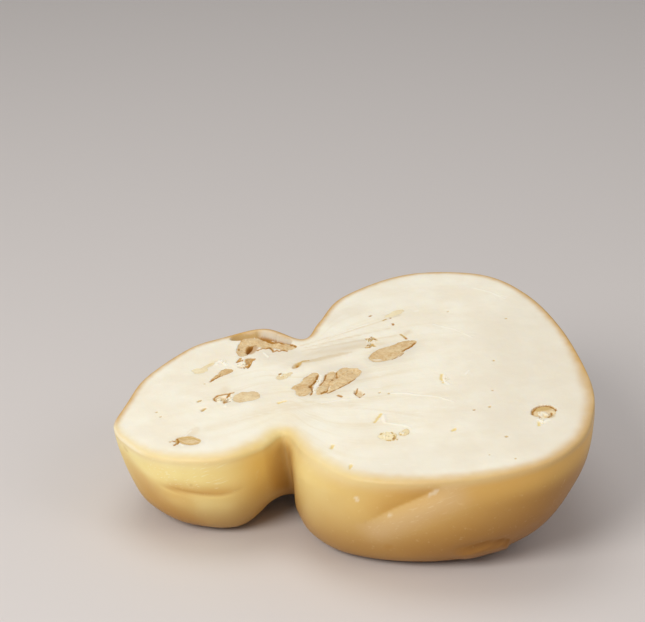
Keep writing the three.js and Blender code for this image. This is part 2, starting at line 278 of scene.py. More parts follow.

# Soft streaks left by the pulling of the curd, thin stains on the walls of the hollows and painted shade on
# the far wall of the socket, by colour:
# strength, half width and a path
STREAKS = {
    "tan": [
        (0.17, 3, [(-60, -32), (-45, -25.5), (-30, -21.5), (-15, -21), (0, -24)]),
        (0.22, 0.5, [(-52, -30), (-38, -25), (-24, -23)]),
        (0.18, 0.5, [(-46, -22.6), (-30, -19), (-14, -18)]),
        (0.15, 0.7, [(-6, -25), (12, -31), (30, -40)]),
        (0.34, 0.6, [(-21, 32.6), (-10, 37), (2, 42), (14, 47.4), (25, 52)]),
        (0.36, 0.5, [(-19, 30.4), (0, 35.6), (20, 40.6)]),
        (0.28, 0.7, [(-20, 27.6), (0, 31), (22, 33)]), (0.2, 1.8, [(-18, 24), (0, 26), (16, 27)]),
        (0.85, 2.4, [(-52.5, 49), (-50, 50.4), (-46.8, 51), (-42, 51.2)]),
        (0.35, 0.7, [(-37.6, 47.6), (-33.6, 44.6), (-29.4, 41)]),
    ],
    "white": [
        (0.45, 0.35, [(-50, -27.6), (-30, -22.4), (-12, -19.6)]),
        (0.45, 0.35, [(-2, -23), (20, -28.6), (45, -36)]),
        (0.4, 0.3, [(-4, -26), (14, -33), (32, -43)]),
        (0.65, 0.4, [(-18, 31.6), (4, 38.6), (24, 45)]),
        (0.6, 0.35, [(-16, 29), (4, 33.4), (24, 37.4)]),
    ],
    "brown": [
        (0.35, 1.2, [(-50, 48.4), (-45, 49)]),
        (0.5, 0.7, [(-53, 50.6), (-47, 53), (-40.5, 54), (-36, 53), (-32, 50.1), (-28, 46), (-24, 42)]),
    ],
    "grey": [
        # Painted shade on the far wall of the socket behind the neck nut
        (0.95, 2.2, [(-38, 50.4), (-35, 48.6), (-31.6, 46), (-28.6, 43), (-25.6, 40)]),
    ],
}

# Crumbs: where they lie, how far they spread and how many
CURD_CRUMBS = [
    (-13.2, -1, 1.4, 8), (-15, -8.6, 0.9, 6), (-56.4, -8, 1.6, 7), (-52.4, -7.6, 1, 5),
    (-46.6, 20.2, 1.4, 7), (79.4, -47.4, 2, 14), (79.4, -53.6, 2.4, 8), (15, -53, 3, 6),
    (21.6, -52, 1.8, 5), (-57, 25, 2, 5), (41.4, -11, 1.6, 6), (10.6, 29.4, 3, 6),
    (-28.4, 6.2, 2.6, 6),
]
WALNUT_CRUMBS = [
    (-46, 22.6, 2.6, 10), (-53.6, -10.8, 1.2, 5), (82.2, -50, 1.4, 6), (17.4, -55.4, 1.4, 4),
    (-57, 13.4, 1.8, 4), (-30, 7.4, 2.4, 4), (10.4, 26, 1.6, 5), (11.4, 32.6, 1.6, 5),
]


def linear(hex_colour):
    """sRGB hex to linear colour with full alpha."""
    parts = [int(hex_colour[i:i + 2], 16) / 255 for i in (1, 3, 5)]
    return [p / 12.92 if p <= 0.04045 else ((p + 0.055) / 1.055) ** 2.4 for p in parts] + [1.0]


def ease(low, high, value):
    """Smooth step from 0 at low to 1 at high, which may be the smaller number."""
    t = np.clip((value - low) / (high - low), 0, 1)
    return t * t * (3 - 2 * t)


def bell(value, width=1):
    return np.exp(-(value / width) ** 2)


LATTICE = 64  # random values along a side of the grain's pattern, which then repeats


def grain(x, y, size, seed):
    """Smooth random lumps from -1 to 1, about one size across."""
    lattice = np.random.default_rng(seed).uniform(-1, 1, (LATTICE, LATTICE))
    u, v = x / size, y / size
    i, j = np.floor(u).astype(int), np.floor(v).astype(int)
    a, b = u - i, v - j
    a, b = a * a * (3 - 2 * a), b * b * (3 - 2 * b)
    i, j, i2, j2 = i % LATTICE, j % LATTICE, (i + 1) % LATTICE, (j + 1) % LATTICE
    near = lattice[i, j] * (1 - a) + lattice[i2, j] * a
    far = lattice[i, j2] * (1 - a) + lattice[i2, j2] * a
    return near * (1 - b) + far * b


def listed(groups):
    """Rows of a table that is grouped by kind, each with its kind in front."""
    return [(kind, *row) for kind, rows in groups.items() for row in rows]


def lay(tint, name, share):
    """Puts a share of a tint where it is stronger than what is there."""
    tint[name] = np.maximum(tint[name], share)


# The rim of the cut face: one closed curve whose third number is the depth under the row,
# positive along the front edge and negative along the back

rim_points = np.array(
    [(fx, fy, depth) for fx, fy, bx, by, depth in ROWS]
    + [(bx, by, -depth) for fx, fy, bx, by, depth in ROWS[-2:0:-1]], float)


def rim(place):
    """Places counted in rows, on a smooth curve through the rows' ends."""
    place = np.asarray(place, float) % len(rim_points)
    i = np.floor(place).astype(int)
    t = (place - i)[..., None]
    a, b, c, d = (rim_points[(i + k) % len(rim_points)] for k in (-1, 0, 1, 2))
    return 0.5 * (2 * b + (c - a) * t + (2 * a - 5 * b + 4 * c - d) * t**2 + (3 * b - a - 3 * c + d) * t**3)


def leg_lengths(curve):
    return np.linalg.norm(np.diff(curve[:, :2], axis=0), axis=1)


row_table = np.linspace(0, LAST_ROW, 1301)
front_table = rim(row_table)
back_table = rim(len(rim_points) - row_table)
travel_table = np.concatenate([[0], np.cumsum((leg_lengths(front_table) + leg_lengths(back_table)) / 2)])


def row_ends(row):
    """Front and back end of a row, its depth and the drop of its rim."""
    front = np.stack([np.interp(row, row_table, front_table[:, k]) for k in (0, 1)], -1)
    back = np.stack([np.interp(row, row_table, back_table[:, k]) for k in (0, 1)], -1)
    depth = np.maximum(np.interp(row, row_table, front_table[:, 2]), 0)
    return front, back, depth, FACE_CROWN * np.minimum(1, depth / FULL_CROWN_DEPTH)


def row_at(x, y):
    """Row that passes through a point of the face, and the place across it from -1 to 1."""
    low, high = np.zeros_like(x), np.full_like(x, LAST_ROW)
    for _ in range(24):
        row = (low + high) / 2
        front, back, _, _ = row_ends(row)
        across = back - front
        beyond = across[..., 0] * (y - front[..., 1]) - across[..., 1] * (x - front[..., 0]) < 0
        low, high = np.where(beyond, row, low), np.where(beyond, high, row)
    front, back, _, _ = row_ends(row)
    half = (back - front) / 2
    middle = (back + front) / 2
    reach = (x - middle[..., 0]) * half[..., 0] + (y - middle[..., 1]) * half[..., 1]
    return row, np.clip(reach / np.maximum((half**2).sum(-1), 1e-9), -1, 1)


def face_drop(x, y):
    row, across = row_at(x, y)
    return row_ends(row)[3] * np.abs(across) ** CROWN_POWER


lie = (Matrix.Rotation(math.radians(-BODY_END_RISE), 3, "Y")
       @ Matrix.Rotation(math.radians(BACK_EDGE_RISE), 3, "X"))


def on_table(points):
    """From millimetres on the cut face to metres on the table, with the underside settled."""
    placed = points @ np.array(lie).T + np.array([CENTRE[0], CENTRE[1], FACE_HEIGHT])
    raised = placed[:, 2] + FOOT
    placed[:, 2] = np.maximum((raised + np.hypot(raised, SAG)) / 2 - FOOT, 0)
    placed[:, :2] *= WITHIN
    return placed / 1000


# Distances on the face

def lobe_gap(x, y, lobe):
    """Distance from a lobe's outline, negative inside it."""
    cx, cy, half_length, half_width, turn = lobe
    c, s = math.cos(math.radians(turn)), math.sin(math.radians(turn))
    along, aside = (x - cx) * c + (y - cy) * s, (y - cy) * c - (x - cx) * s
    q = np.maximum(np.hypot(along / half_length, aside / half_width), 1e-6)
    return np.hypot(along, aside) * (1 - 1 / q)


def path_gap(x, y, path):
    """Distance from a path of one or more points."""
    gap = np.hypot(x - path[0][0], y - path[0][1])
    for (ax, ay), (bx, by) in zip(path, path[1:]):
        dx, dy = bx - ax, by - ay
        t = np.clip(((x - ax) * dx + (y - ay) * dy) / (dx * dx + dy * dy), 0, 1)
        gap = np.minimum(gap, np.hypot(x - ax - t * dx, y - ay - t * dy))
    return gap


def side_of_path(x, z, path):
    """Distance from a path, positive above it, and the share of the path gone by.

    The path's first and last legs go on past its ends.
    """
    legs = list(zip(path, path[1:]))
    whole = sum(math.dist(a, b) for a, b in legs)
    gap = np.full(x.shape, np.inf)
    above, share = np.zeros_like(x), np.zeros_like(x)
    gone = 0
    for leg, ((ax, az), (bx, bz)) in enumerate(legs):
        dx, dz = bx - ax, bz - az
        t = ((x - ax) * dx + (z - az) * dz) / (dx * dx + dz * dz)
        t = np.clip(t, 0 if leg else -np.inf, 1 if leg < len(legs) - 1 else np.inf)
        here = np.hypot(x - ax - t * dx, z - az - t * dz)
        nearer = here < gap
        gap = np.where(nearer, here, gap)
        side = np.sign((z - az) * dx - (x - ax) * dz) * math.copysign(1, dx)
        above = np.where(nearer, side, above)
        share = np.where(nearer, (gone + t * math.hypot(dx, dz)) / whole, share)
        gone += math.hypot(dx, dz)
    return gap * above, share


def nut_gap(nut, x, y):
    """Distance from a nut's ragged outline, negative inside it."""
    ragged = EDGE_RAGGED * (grain(x, y, 2.6, 11) + 0.6 * grain(x, y, 1.1, 12))
    gaps = np.array([lobe_gap(x, y, lobe) for lobe in nut["lobes"]])
    nearest = gaps.min(0)
    joined = nearest - LOBE_BLEND * np.log(np.exp((nearest - gaps) / LOBE_BLEND).sum(0))
    return joined + ragged


def crack_width(nut, x, y):
    """Cracks around a nut open and close along its edge."""
    return nut["crack"] * (0.25 + 0.75 * ease(-0.35, 0.55, grain(x, y, 4.5, 21)))


# Relief and tints of the paste

TINT_NAMES = ("brown", "tan", "yellow", "white", "grey")
MARK_MARGIN = 3  # a mark ends within this distance of its path
POCKET = 3.2  # how deep the paste is open under a nut
SOCKET = 3  # a hollow deeper than this has smooth, sloping walls
SOCKET_SHADE = (-42.5, -40)  # from here on along x the deep part of the socket is painted brown, as painted shade under its far wall


def mark_face(x, y):
    """Height and tints that the marks give to the face or to a nut at the cut."""
    height = np.zeros_like(x)
    tint = {name: np.zeros_like(x) for name in TINT_NAMES}
    for name, width, depth, path in listed(MARKS):
        low, high = np.min(path, 0) - MARK_MARGIN, np.max(path, 0) + MARK_MARGIN
        near = (x > low[0]) & (x < high[0]) & (y > low[1]) & (y < high[1])
        px, py = x[near], y[near]
        wide = width * (1 + 0.45 * grain(px, py, 0.9, 31) + 0.25 * grain(px, py, 2.3, 32))
        away = path_gap(px, py, path) / wide
        height[near] -= depth * bell(away)
        share = 0.85 * bell(away) if name == "white" else np.exp(-(0.9 * away) ** 4)
        tint[name][near] = np.maximum(tint[name][near], share)
    for name, amount, soft, lobe in listed(TINTS):
        gap = lobe_gap(x, y, lobe) + 0.35 * soft * grain(x, y, 2.2 * soft, 33)
        lay(tint, name, amount * ease(soft, -soft, gap))
    for name, amount, width, path in listed(STREAKS):
        strength = bell(path_gap(x, y, path), width) * (0.85 + 0.3 * grain(x, y, 5, 34))
        lay(tint, name, amount * np.clip(strength, 0, 1))
    return height, tint


def paste_height(x, y):
    """Relief of the paste: nut pockets, hollows, torn curd and the drag of the knife."""
    height, tint = mark_face(x, y)
    for nut in WALNUTS.values():
        gap = nut_gap(nut, x, y)
        width = crack_width(nut, x, y)
        soft = nut.get("soft", 0)
        height -= POCKET * ease(0.05 - soft, -0.3 - width - soft, gap)
        lay(tint, "brown", 0.8 * ease(0.3, -0.1, gap) * ease(0.02, 0.1, width))
    hollow = np.zeros_like(x)
    for lobe, depth in HOLLOWS:
        torn, sloping = (0.06, 0.6) if depth > SOCKET else (0.25, 0.45)
        gap = lobe_gap(x, y, lobe) + torn * grain(x, y, 1.6, 41)
        hollow = np.maximum(hollow, depth * ease(0.15, -sloping * lobe[3], gap))
    # Painted shade: the deep part of the socket's right side is painted brown
    lay(tint, "brown", 0.95 * ease(2.6, 3.8, hollow) * ease(*SOCKET_SHADE, x))
    lay(tint, "tan", 0.9 * ease(0.4, 1.4, hollow) * ease(-38, -42, x))
    height += 0.05 * grain(x, y, 1.4, 42) + 0.09 * grain(x, y, 6, 43) - hollow
    return height, tint, hollow


def add_mesh(name, points, faces, material, fields=None):
    """Smooth mesh piece from points in metres, with named values per point."""
    mesh = bpy.data.meshes.new(name)
    mesh.from_pydata([tuple(p) for p in points], [], faces)
    mesh.update()
    mesh.shade_smooth()
    for field, values in (fields or {}).items():
        values = np.asarray(values, np.float32)
        kind, item = ("FLOAT_VECTOR", "vector") if values.ndim == 2 else ("FLOAT", "value")
        mesh.attributes.new(field, kind, "POINT").data.foreach_set(item, values.ravel())
    mesh.materials.append(material)
    piece = bpy.data.objects.new(name, mesh)
    bpy.context.scene.collection.objects.link(piece)
    return piece


# Materials

def add(tree, kind, links=None, **settings):
    """Adds a node: settings by attribute or by socket name, links by socket name."""
    node = tree.nodes.new(kind)
    for key, value in settings.items():
        if hasattr(node, key):
            setattr(node, key, value)
        else:
            node.inputs[key.replace("_", " ")].default_value = value
    for key, source in (links or {}).items():
        tree.links.new(source, node.inputs[key])
    return node


def new_material(name):
    """Empty material, its node tree and the place on the piece."""
    material = bpy.data.materials.new(name)
    material.use_nodes = True
    tree = material.node_tree
    tree.nodes.clear()
    return material, tree, add(tree, "ShaderNodeTexCoord").outputs["Object"]


def finish_material(tree, links, **settings):
    shader = add(tree, "ShaderNodeBsdfPrincipled", links, **settings)
    add(tree, "ShaderNodeOutputMaterial", {"Surface": shader.outputs["BSDF"]})


def field(tree, name, output="Fac"):
    return add(tree, "ShaderNodeAttribute", attribute_name=name).outputs[output]


def join(tree, socket, value):
    """Gives a socket a hex colour or a number, or links another socket to it."""
    if isinstance(value, str):
        socket.default_value = linear(value)
    elif isinstance(value, (int, float)):
        socket.default_value = value
    else:
        tree.links.new(value, socket)


def mixed(tree, amount, first, second):
    """Colour between two others."""
    node = add(tree, "ShaderNodeMix", {"Factor": amount}, data_type="RGBA")
    join(tree, node.inputs[6], first)
    join(tree, node.inputs[7], second)
    return node.outputs[2]


def layered(tree, colour, layers):
    """Colour with others laid over it in turn, each with how much of it shows."""
    for amount, over in layers:
        colour = mixed(tree, amount, colour, over)
    return colour


def noise(tree, vector, size_mm, detail=3.0, stretch=None):
    """Noise with lumps of a size in millimetres, stretched along an axis where asked."""
    if stretch:
        vector = add(tree, "ShaderNodeMapping", {"Vector": vector}, Scale=stretch).outputs["Vector"]
    return add(tree, "ShaderNodeTexNoise", {"Vector": vector}, Scale=1000 / size_mm, Detail=detail,
               Roughness=0.55).outputs["Fac"]


def ramp(tree, value, low, high, out_low=0.0, out_high=1.0):
    return add(tree, "ShaderNodeMapRange", {"Value": value}, interpolation_type="SMOOTHSTEP", From_Min=low,
               From_Max=high, To_Min=out_low, To_Max=out_high).outputs["Result"]


def times(tree, first, second):
    node = add(tree, "ShaderNodeMath", operation="MULTIPLY")
    join(tree, node.inputs[0], first)
    join(tree, node.inputs[1], second)
    return node.outputs["Value"]


def make_cheese_material():
    """Stretched-curd cheese: a moist cream paste, cut with a knife, inside a thin golden rind.

    Pulling the hot curd leaves faint bands along its flow, and brine and air dry the outside to a
    smooth waxy skin that is yellow where it is thin and browner with drying. Much of the skin's deeper
    gold and brown is painted shade, its warm gold by the neck is painted light, and the grey and
    brown deep in the socket behind the neck nut are painted shade.
    """
    material, tree, place = new_material("stretched curd paste and dried rind")
    flow = field(tree, "flow", "Vector")
    pull = field(tree, "pull")

    # Paste: cream in cloudy patches 18 mm across, with bands, threads and dashes along the pull
    clouds = noise(tree, place, 18, 2)
    bands = noise(tree, flow, 3.2, 4, (0.06, 1, 1))
    threads = noise(tree, flow, 0.9, 2, (0.05, 1, 1))
    dashes = noise(tree, flow, 1.3, 1, (0.16, 1, 1))
    paste = layered(tree, mixed(tree, ramp(tree, clouds, 0.3, 0.7), "#f7f1e0", "#f2e9d5"), [
        (times(tree, ramp(tree, bands, 0.46, 0.74, 0, 0.6), pull), "#e8d9b8"),
        (times(tree, ramp(tree, threads, 0.58, 0.8, 0, 0.35), pull), "#faf5e8"),
        (ramp(tree, dashes, 0.68, 0.8, 0, 0.4), "#fcf8ee"),
        (field(tree, "grey"), "#dfd5c2"),
        (field(tree, "tan"), "#ccab69"),
        (field(tree, "yellow"), "#ecd594"),
    ])

    # Rind: gold wax-like skin in patches 34 mm across, with fine specks and slanting scratches; the
    # deeper gold and brown laid on it are partly painted shade, the warm gold painted light and the
    # pale matt share partly painted light
    patches = noise(tree, place, 34, 3)
    specks = noise(tree, place, 2.4, 2)
    slant = add(tree, "ShaderNodeMapping", {"Vector": place}, Rotation=(0, math.radians(24), 0))
    scratches = noise(tree, slant.outputs["Vector"], 0.8, 1, (0.06, 1, 1))
    rind = layered(tree, mixed(tree, ramp(tree, patches, 0.32, 0.68), "#f6e5a1", "#eed68e"), [
        (field(tree, "golden_and_shade"), "#d8a550"),
        (field(tree, "painted_neck_light"), "#f2bf50"),
        (field(tree, "dried_and_shade"), "#8c5a26"),
        (field(tree, "matt"), "#dcbf96"),
        (ramp(tree, specks, 0.62, 0.8, 0, 0.16), "#f3dfa8"),
        (times(tree, ramp(tree, scratches, 0.6, 0.74, 0, 0.4), field(tree, "scratched")), "#fbf3cf"),
    ])
    colour = layered(tree, paste, [
        (field(tree, "rind"), rind),
        (field(tree, "white"), "#f9f4e6"),
        (field(tree, "brown"), "#b47d22"),
    ])

    # Fine relief: curd threads 0.9 mm wide on the cut and pores of 1.2 mm in the skin
    pores = noise(tree, place, 1.2, 3)
    curd = add(tree, "ShaderNodeBump", {"Height": times(tree, threads, pull)}, Strength=0.25, Distance=0.0003)
    skin = add(tree, "ShaderNodeBump", {"Height": pores, "Normal": curd.outputs["Normal"]}, Strength=0.12,
               Distance=0.0003)
    finish_material(tree, {
        "Base Color": colour,
        "Normal": skin.outputs["Normal"],
        "Roughness": ramp(tree, field(tree, "rind"), 0, 1, 0.55, 0.40),
        "Subsurface Weight": ramp(tree, field(tree, "brown"), 0, 0.8, 0.35, 0),
    }, IOR=1.45, Specular_IOR_Level=0.35, Subsurface_Radius=(1.0, 0.85, 0.6), Subsurface_Scale=0.0014)
    return material


def make_walnut_material():
    """Walnut kernel sliced by the knife: dry tan flesh with a thin brown skin in the folds."""
    material, tree, place = new_material("sliced walnut kernel")
    tone = field(tree, "tone")
    mottle = noise(tree, place, 2.6, 4)
    grains = noise(tree, place, 1.1, 2)
    flesh = layered(tree, mixed(tree, tone, "#f6eac6", "#c89752"), [
        (ramp(tree, mottle, 0.45, 0.64, 0, 0.42), "#eeddb4"),
        (times(tree, ramp(tree, grains, 0.5, 0.66, 0, 0.6), tone), "#b98a46"),
        (field(tree, "yellow"), "#e8cd88"),
        (field(tree, "tan"), "#caa660"),
        (field(tree, "skin"), "#b58240"),
        (field(tree, "brown"), "#a87216"),
        (field(tree, "white"), "#f6efdc"),
    ])
    fibre = add(tree, "ShaderNodeBump", {"Height": noise(tree, place, 0.7, 3)}, Strength=0.3, Distance=0.0003)
    finish_material(tree, {"Base Color": flesh, "Normal": fibre.outputs["Normal"]}, Roughness=0.62, IOR=1.47,
                    Specular_IOR_Level=0.3, Subsurface_Weight=0.12, Subsurface_Radius=(1.0, 0.8, 0.5),
                    Subsurface_Scale=0.0012)
    return material


def make_crumb_material(name, light, dark):
    """Loose crumbs torn off by the knife, rough and matt."""
    material, tree, place = new_material(name)
    colour = mixed(tree, ramp(tree, noise(tree, place, 1.8, 2), 0.35, 0.65), light, dark)
    finish_material(tree, {"Base Color": colour}, Roughness=0.65, Subsurface_Weight=0.2,
                    Subsurface_Radius=(1.0, 0.85, 0.6), Subsurface_Scale=0.001)
    return material


def make_floor_material():
    """Plain matt painted board."""
    material, tree, _ = new_material("matt painted board")
    finish_material(tree, {}, Base_Color=linear("#d8d2d0"), Roughness=0.6)
    return material


# The cheese

# Points on the cut face, finest first: spacing, reach around marks and reach around the rim
FACE_STEPS = [(0.38, 0.9, 0.7), (0.7, 3.2, 4.2), (1.25, np.inf, np.inf)]
HALF_FIELD = (104, 94)  # half of the field that those points are taken from
FACE_ENDS = (-101.5, 102)
INSIDE = 0.998  # share of a row that they keep to
RIM_CLEAR = 0.4
RIM_STEP = 0.65
RIM_BATCH = 20000  # points set against the rim at a time
NUT_BORDER = 1.2  # fine facets go this far under a nut
UNDER_STEPS = 86
RIM_BUNCH = 0.76  # how far the facets of the rind crowd towards the rim
FLOW_HALF = 42  # half width that the bands of pulled curd are laid out in

# Folds of the skin, as x and z on the flank
HEAD_FOLD = [
    (-85, -13.6), (-80, -15.9), (-71.6, -17.6), (-65.5, -18.3), (-56.6, -18.5), (-50, -18), (-44, -16),
]
HEAD_RIDGE = [(-98, -2), (-96.4, -5.2), (-90, -11), (-82.6, -17.7), (-77, -24), (-70, -31)]
BODY_FOLD = [
    (39, -2), (32.6, -5.1), (26, -9), (19.7, -12.1), (15, -14.6), (10.9, -17.3), (6, -20.4), (0, -23),
]
BACK_FOLDS = [
    [(60, -5), (49, -9.6), (37, -14.6), (25, -18.8), (12, -21.4)],
    [(-84, -12), (-75, -16.6), (-64, -19.4), (-52, -19.6)],
]
MATT_AND_LIT_BAND = [(7, -25), (20, -18.4), (30, -12.6), (38, -9)]
BASE_LIP = [(34, -39.6), (40, -38.8), (45.4, -38.7), (50.8, -38.3), (56, -38.7), (61, -40.2)]

# Spots on the front of the rind: strength and a lobe in x and z
RIND_SPOTS = {
    "white": [
        # The second white spot, at the top end of the body's fold, is a painted highlight
        (0.9, (0.2, -10.4, 1.2, 0.6, -10)), (0.35, (31, -6.4, 2.6, 0.9, 30)),
        (0.3, (13, -17, 1.4, 0.6, 35)), (0.2, (22, -25.6, 0.7, 0.5, 0)),
    ],
    "brown": [
        (0.3, (10.4, -36, 2.2, 1.4, 0)), (0.35, (-96.6, -4.6, 1.4, 0.8, -50)),
        (0.3, (-69, -14, 0.7, 0.5, 0)), (0.25, (2.6, -21, 0.8, 0.8, 0)),
    ],
}


def hex_points(step):
    """Points of a grid of even triangles over the whole field."""
    x = np.arange(-HALF_FIELD[0], HALF_FIELD[0] + 1, step)
    y = np.arange(-HALF_FIELD[1], HALF_FIELD[1] + 1, step * 0.866)
    gx, gy = np.meshgrid(x, y)
    gx[1::2] += step / 2
    return gx.ravel(), gy.ravel()


def rim_gap(x, y, loop):
    """Distance from the points of the rim."""
    gap = np.full(x.shape, np.inf)
    for start in range(0, len(x), RIM_BATCH):
        part = slice(start, start + RIM_BATCH)
        d2 = (x[part, None] - loop[None, :, 0]) ** 2 + (y[part, None] - loop[None, :, 1]) ** 2
        gap[part] = np.sqrt(d2.min(1))
    return gap


def mark_gap(x, y):
    """Distance to the nearest feature of the face that needs fine facets."""
    gap = np.full(x.shape, 99.0)
    for nut in WALNUTS.values():
        outside = np.min([lobe_gap(x, y, lobe) for lobe in nut["lobes"]], 0)
        gap = np.minimum(gap, np.where(outside < -NUT_BORDER, 3 - outside, np.maximum(outside, 0)))
    for lobe, _ in HOLLOWS:
        gap = np.minimum(gap, np.maximum(lobe_gap(x, y, lobe), 0))
    for _, width, _, path in listed(MARKS):
        gap = np.minimum(gap, np.maximum(path_gap(x, y, path) - 2 * width, 0))
    return gap


def face_points(loop):
    """Points of the cut face, close together near nuts, marks and the rim."""
    kept = []
    mark_taken = rim_taken = 0
    for step, mark_reach, rim_reach in FACE_STEPS:
        x, y = hex_points(step)
        inside = (np.abs(row_at(x, y)[1]) < INSIDE) & (x > FACE_ENDS[0]) & (x < FACE_ENDS[1])
        x, y = x[inside], y[inside]
        edge = rim_gap(x, y, loop)
        marks = mark_gap(x, y)
        wanted = ((marks < mark_reach) | (edge < rim_reach)) & (edge > RIM_CLEAR)
        wanted &= (marks >= mark_taken) & (edge >= rim_taken)
        kept.append(np.stack([x[wanted], y[wanted]], 1))
        mark_taken, rim_taken = mark_reach, rim_reach
    return np.concatenate(kept)


def fading(share, full, fades):
    """Share along a fold: rises from its start, is full between two places and ends at its end."""
    return ease(0, full, share) * ease(1, fades, share)


def together(*shares):
    """Share covered by several soft patches laid over each other."""
    left = 1
    for share in shares:
        left = left * (1 - share)
    return 1 - left


def skin_folds(x, z, front, back):
    """How far the folds move the skin inwards, and where they roll, shade or rub it."""
    # Fold in the front of the head: a thin groove with a broad roll under it, with painted shade along the
    # groove, in a thin dark line just above it and on the skin left of the fold
    above, share = side_of_path(x, z, HEAD_FOLD)
    along = fading(share, 0.25, 0.65) * front
    head_fold = along * bell(above, np.where(above < 0, 1.0, 3.6))
    crease_shade = along * bell(above - 0.2, 0.8) * ease(-40, -52, x)
    shade_left_of_fold = ease(-64, -74, x) * ease(3, -4, above) * front
    scratched = ease(0, 3, above) * ease(-50, -58, x) * ease(-92, -84, x) * front
    roll = along * bell(above + 6.5, 5)
    moved = 0.55 * head_fold - 0.35 * roll

    # Flatter left side of the head, below a soft ridge, darkened there as painted shade
    above, share = side_of_path(x, z, HEAD_RIDGE)
    left = ease(2, -9, above) * front * ease(-58, -72, x) * ease(0, 0.15, share)
    moved += 1.2 * left * ease(-34, -20, z)

    # Slanting fold in the front of the body: sunken skin above it, darkened as painted shade, and a pale band
    # below it that is partly painted light on skin that faces up and partly skin rubbed matt
    above, share = side_of_path(x, z, BODY_FOLD)
    along = fading(share, 0.12, 0.6) * front
    rise = np.clip((above + 6.5) / 7, 0, 1) ** 1.6
    moved += 1.1 * along * rise * np.exp(-np.maximum(above - 0.5, 0) / 5.5)
    shaded = along * ease(0, 1.6, above) * bell(above, 9)
    matt = bell(path_gap(x, z, MATT_AND_LIT_BAND), 7) * ease(1, 0, above) * front
    scratched = np.maximum(scratched, 0.4 * matt)

    # Shallow folds in the back, with painted shade in their dents
    for path in BACK_FOLDS:
        above, share = side_of_path(x, z, path)
        dent = fading(share, 0.25, 0.7) * back * ease(0, 2.2, above) * bell(above, 7)
        moved += 0.8 * dent
        shaded = np.maximum(shaded, 0.7 * dent)

    # Lip pressed out where the body meets the table, with painted shade in the groove above it
    above, share = side_of_path(x, z, BASE_LIP)
    along = ease(0, 0.35, share) * ease(60.6, 59, x) * front
    groove = along * bell(above - 0.6, 1.4)
    lip = along * ease(0.8, -3, above) * ease(-14, -8, above)
    moved += 0.9 * groove - 1.6 * lip
    return moved, SimpleNamespace(
        head_fold=head_fold, crease_shade=crease_shade, shade_left_of_fold=shade_left_of_fold, roll=roll, left=left, shaded=shaded,
        matt=matt, scratched=scratched, groove=groove, lip=lip)


def skin_tones(x, y, z, front, fold):
    """Gold, brown and warm gold shares of the skin: deeper low down, in the neck and towards the end. In the
    neck, beside it, in the folds, on the left of the head and on the underside they are painted shade,
    towards the end partly painted shade, and the warm gold by the neck is painted light.
    """
    # Darker towards the bottom, less so on the roll under the head fold, which is left lighter as painted
    # light
    low = ease(-10, -42, z) * (1 - 0.4 * fold.roll)
    # In the neck the skin is painted deeper gold and browner, as the warm shade between head and body
    neck = bell(x + 29, np.where(x < -29, 13, 4.0)) * ease(1, -10, z)
    # Painted shade: a dark strip down the body's edge beside the neck
    wall_shade = bell(x + 27, 3.2) * ease(-3, -10, z) * front
    shoulder = ease(-27, -22, x) * ease(14, -14, x) * front
    body = ease(-42, 50, x) * ease(-44, -30, x)
    # Deeper gold on the body is the skin's own tone; in the neck, along the head fold, above the body fold,
    # on the left of the head and left of its fold it is painted shade
    golden_and_shade = together(
        0.85 * body, 0.6 * low, 0.5 * neck, 0.7 * fold.head_fold, 0.75 * fold.shaded, 0.5 * fold.left,
        0.5 * fold.shade_left_of_fold, 0.15 * shoulder)
    # Less brown low down near x = -39: painted light that lightens the shaded neck
    low_tone = (0.54 + 0.11 * ease(10, 50, x)) * (1 - 0.4 * bell(x + 39, 9))
    # Browner skin, darker towards the bottom. Towards the end it is partly a browner skin and partly painted
    # shade. On the underside it is painted shade that keeps light from bouncing under the neck. Beside the
    # neck, in the neck, along the folds and on the left of the head it is painted shade
    dried_and_shade = together(
        low_tone * low, 0.2 * neck * low, 0.12 * neck * ease(-36, -29, x), 0.5 * wall_shade, 0.14 * shoulder,
        0.7 * ease(-40, -56, z), 0.66 * ease(25, 90, x) * ease(-5, -18, z),
        0.12 * ease(0, 40, x) * ease(-8, -20, z), 0.1 * fold.left, 0.35 * fold.groove,
        0.15 * fold.lip, 0.15 * fold.shaded, 0.3 * fold.crease_shade)
    # Painted light: warmer, brighter gold high on the front of the flank by the neck, standing in for warm
    # light thrown back into the neck
    painted_neck_light = 0.58 * bell(x + 40, 10) * ease(2, -5, z) * ease(-10, -30, y)
    return golden_and_shade, dried_and_shade, painted_neck_light


def rind_relief(points, inward):
    """Skin moved by its folds and unevenness, and where it is gold, brown, matt or spotted. Much of the gold
    and brown is painted shade; the warm gold by the neck is painted light, and so are part of the pale matt
    band and one white spot.
    """
    x, y, z = points.T
    front, back = ease(-20, -45, y), ease(20, 45, y)
    moved, fold = skin_folds(x, z, front, back)
    golden_and_shade, dried_and_shade, painted_neck_light = skin_tones(x, y, z, front, fold)
    looks = {"golden_and_shade": golden_and_shade, "dried_and_shade": dried_and_shade, "painted_neck_light": painted_neck_light, "matt": 0.5 * fold.matt,
             "scratched": fold.scratched}
    looks.update({name: np.zeros_like(x) for name in (*TINT_NAMES, "pull")})
    for name, amount, lobe in listed(RIND_SPOTS):
        lay(looks, name, amount * ease(0.4, -0.4, lobe_gap(x, z, lobe)) * front)

    # Unevenness from forming and hanging, and white spots that stand out
    moved += 0.30 + 0.28 * grain(x + 0.3 * z, y + z, 23, 51) + 0.10 * grain(x - z, y - 0.6 * z, 9, 52)
    moved -= 0.3 * looks["white"]
    return points + inward * moved[:, None], looks


